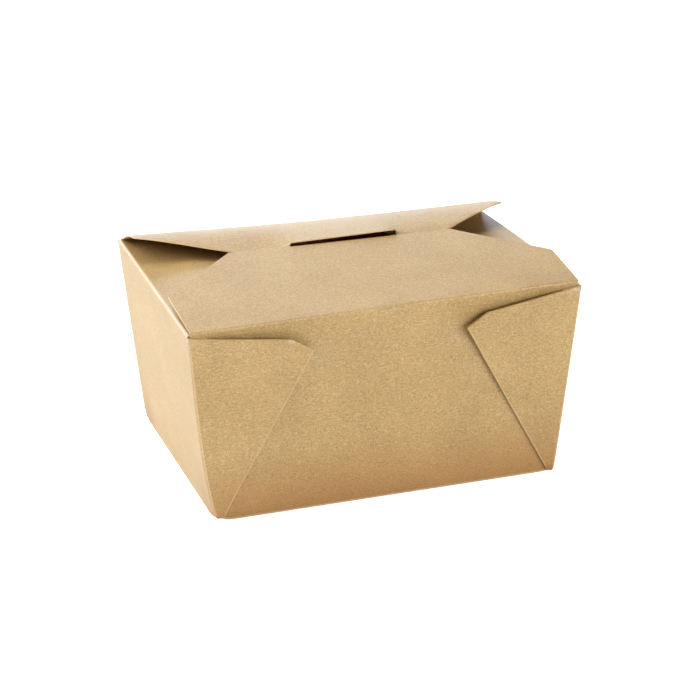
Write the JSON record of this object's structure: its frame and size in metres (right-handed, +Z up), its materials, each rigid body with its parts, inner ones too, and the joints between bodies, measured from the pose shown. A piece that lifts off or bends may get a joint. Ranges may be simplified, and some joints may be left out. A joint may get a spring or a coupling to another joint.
{
  "type": "folded paperboard takeout box",
  "caption": "Rectangular kraft paperboard food box with flared walls, folded leak-proof web corners and a top closed by overlapping flaps and a tongue in a slot.",
  "frame": {"origin": "centre of the underside of the base, at the level of the table", "axes": "+X along the long front wall to the right, +Y to the rear wall, +Z up; the front flap's crease is on the -Y side"},
  "size_m": [0.1262, 0.097, 0.0702],
  "materials": {
    "kraft_board": "matte"
  },
  "bodies": {
    "carton": {"carton": "kraft_board"},
    "front_flap": {"front_flap": "kraft_board"}
  },
  "joints": [
    {"name": "front_flap_crease", "type": "hinge", "parent": "carton", "child": "front_flap", "pos_m": [0, -0.04727, 0.0643], "axis": [1, 0, 0], "range_deg": [0, 180]}
  ]
}
